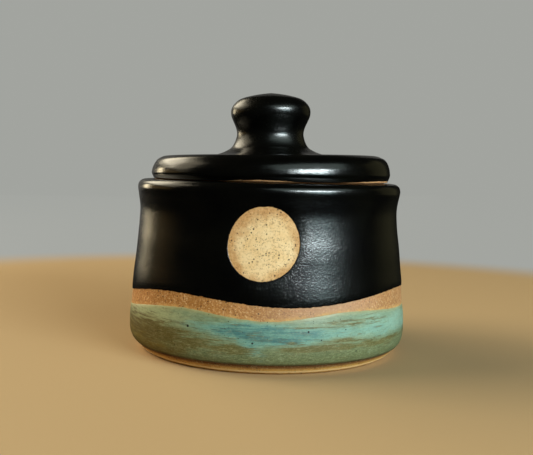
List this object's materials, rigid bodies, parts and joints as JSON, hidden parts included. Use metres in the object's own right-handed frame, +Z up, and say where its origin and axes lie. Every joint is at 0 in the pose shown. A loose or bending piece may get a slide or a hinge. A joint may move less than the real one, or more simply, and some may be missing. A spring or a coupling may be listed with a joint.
{
  "type": "sugar bowl",
  "caption": "Squat lidded sugar bowl in hand-thrown stoneware: flared bowl on a foot ring, thick disc lid with a turned knob, satin black over a bare clay band and a blue-green base.",
  "frame": {"origin": "centre of the foot ring's underside, on the surface the bowl stands on", "axes": "+Z up along the turning axis, the way the lid lifts; the bare round window in the glaze faces -Y"},
  "size_m": [0.11, 0.11, 0.1011],
  "materials": {
    "black_glaze": "satin black glaze, mottled sheen",
    "bare_clay": "unglazed tan stoneware with fine iron specks, toasted where it meets glaze",
    "blue_green_glaze": "satin blue-green glaze, brushed in level streaks with olive breaks"
  },
  "bodies": {
    "bowl": {"bowl_body": "black_glaze"},
    "lid": {"lid_body": "black_glaze", "lid_knob": "black_glaze"}
  },
  "joints": [
    {"name": "lid_lift", "type": "slide", "parent": "bowl", "child": "lid", "axis": [0, 0, 1], "range_m": [0, 0.06]}
  ]
}
